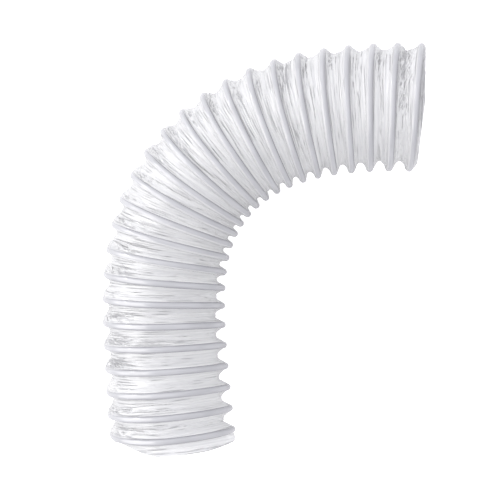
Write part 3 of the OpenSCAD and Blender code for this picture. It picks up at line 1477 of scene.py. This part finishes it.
@dataclass(frozen=True)
class SoftBox:
    """An oblong, soft lamp.

    Attributes:
        name: The lamp's name.
        place: Where it stands, in metres.
        size: Its width and height, in metres.
        power: Its power, in watts.
        colour: Its colour.
        mirrored: It shows only in glossy surfaces and lights nothing else.
    """

    name: str
    place: Triple
    size: Pair
    power: float
    colour: Triple = (1.0, 1.0, 1.0)
    mirrored: bool = False

    def build(self, target: Vector) -> None:
        """Makes the lamp and aims it.

        Args:
            target: The point it lights.
        """
        lamp = bpy.data.lights.new(self.name, "AREA")
        lamp.shape = "RECTANGLE"
        lamp.size, lamp.size_y = self.size
        lamp.energy, lamp.color = self.power, self.colour
        stand = bpy.data.objects.new(self.name, lamp)
        stand.location = self.place
        stand.rotation_mode = "QUATERNION"
        stand.visible_camera = False
        stand.visible_diffuse = not self.mirrored
        stand.rotation_quaternion = (target - Vector(self.place)).to_track_quat("-Z", "Y")
        bpy.context.scene.collection.objects.link(stand)


@dataclass
class Studio:
    """A pale floor, soft light and the camera.

    Attributes:
        floor_side: Length of the floor's side, in metres.
        floor_drop: How far the floor lies below the object, in metres.
        floor_colour: Its colour.
        floor_roughness: Its roughness.
        floor_shine: Strength of its mirror light.
        glow: How much the floor itself shines, as the eye sees it.
        sky_colour: Colour of the surroundings.
        sky: Brightness of the surroundings, on their darkest and on their brightest side.
        backdrop: Least brightness of the surroundings as the eye sees them.
        bright_side: Direction of the brightest side.
        eye: Where the camera stands, in metres.
        aim: The point at the middle of its view, in metres.
        up: The direction that is up in its view.
        lens: Its focal length, in millimetres.
        sensor: Width of its sensor, in millimetres.
        boxes: The lamps.
        lit: The point that they are aimed at, in metres.
    """

    floor_side: float = 6.0
    floor_drop: float = 0.0001
    floor_colour: tuple[float, float, float, float] = (0.8, 0.8, 0.8, 1.0)
    floor_roughness: float = 0.9
    floor_shine: float = 0.1
    glow: float = 0.75
    sky_colour: tuple[float, float, float, float] = (0.96, 0.96, 1.0, 1.0)
    sky: Pair = (0.79, 1.44)
    backdrop: float = 1.1
    bright_side: Triple = (-0.62, 0.62, 0.48)
    eye: Triple = (0.2285, 0.1511, 1.0814)
    aim: Triple = (0.0970, 0.1775, 0.0)
    up: Triple = (0.1277, 0.9918, 0.0)
    lens: float = 81.8
    sensor: float = 36.0
    boxes: tuple[SoftBox, ...] = (
        SoftBox("side_light", (-0.95, 0.35, 0.95), (2.2, 1.1), 5.0, WARM),
        SoftBox("side_card", (-1.17, 0.25, 0.80), (2.6, 2.0), 27.0, WARM, mirrored=True),
        SoftBox("low_light", (-0.74, 1.01, 0.25), (0.12, 0.12), 1.0),
    )
    lit: Triple = (0.1, 0.17, 0.0)

    def build(self) -> None:
        """Builds everything round the object."""
        self.build_floor()
        self.build_light()
        self.build_camera()

    def build_floor(self) -> None:
        """Lays the floor just under the object."""
        half, level = self.floor_side / 2, CAD_BOX[0].z - self.floor_drop
        sides = ((-half, -half), (half, -half), (half, half), (-half, half))
        mesh = bpy.data.meshes.new("floor")
        mesh.from_pydata([(x, y, level) for x, y in sides], [], [(0, 1, 2, 3)])
        made = bpy.data.materials.new("pale_floor")
        made.use_nodes = True
        tree = made.node_tree
        shader = tree.nodes["Principled BSDF"]
        shader.inputs["Base Color"].default_value = self.floor_colour
        shader.inputs["Roughness"].default_value = self.floor_roughness
        shader.inputs["Specular IOR Level"].default_value = self.floor_shine
        shader.inputs["Emission Color"].default_value = WHITE
        tree.links.new(self.seen(tree, self.glow), shader.inputs["Emission Strength"])
        mesh.materials.append(made)
        floor = bpy.data.objects.new("floor", mesh)
        bpy.context.scene.collection.objects.link(floor)

    def seen(self, tree: bpy.types.NodeTree, strength: float) -> bpy.types.NodeSocket:
        """The socket of a strength that counts only as the eye sees it, and else is 0."""
        rays = tree.nodes.new("ShaderNodeLightPath")
        return between(tree, rays.outputs["Is Camera Ray"], FULL, (0.0, strength))

    def build_light(self) -> None:
        """Sets the surroundings, brighter on one side, and the lamps."""
        scene = bpy.context.scene
        scene.view_settings.view_transform = "Standard"
        world = bpy.data.worlds.new("studio")
        world.use_nodes = True
        tree = world.node_tree
        backdrop = tree.nodes["Background"]
        backdrop.inputs["Color"].default_value = self.sky_colour
        ray, facing = tree.nodes.new("ShaderNodeTexCoord"), tree.nodes.new("ShaderNodeVectorMath")
        facing.operation = "DOT_PRODUCT"
        facing.inputs[1].default_value = self.bright_side
        tree.links.new(ray.outputs["Generated"], facing.inputs[0])
        around = between(tree, facing.outputs["Value"], (-1.0, 1.0), self.sky)
        strength = combined(tree, "MAXIMUM", around, self.seen(tree, self.backdrop))
        tree.links.new(strength, backdrop.inputs["Strength"])
        scene.world = world
        for lamp in self.boxes:
            lamp.build(Vector(self.lit))

    def build_camera(self) -> None:
        """Sets the camera from its place, its aim and what is up in its view."""
        back = (Vector(self.eye) - Vector(self.aim)).normalized()
        right = Vector(self.up).cross(back).normalized()
        top = back.cross(right)
        lens = bpy.data.cameras.new("camera")
        lens.lens, lens.sensor_width = self.lens, self.sensor
        camera = bpy.data.objects.new("camera", lens)
        turn = Matrix((right, top, back)).transposed().to_4x4()
        camera.matrix_world = Matrix.Translation(Vector(self.eye)) @ turn
        bpy.context.scene.collection.objects.link(camera)
        bpy.context.scene.camera = camera


def main() -> None:
    """Builds the hose and the studio round it."""
    logging.basicConfig(level=logging.INFO, format="%(name)s: %(message)s")
    FilmWall().build()
    RibCoil().build()
    Studio().build()


if __name__ == "__main__":
    main()
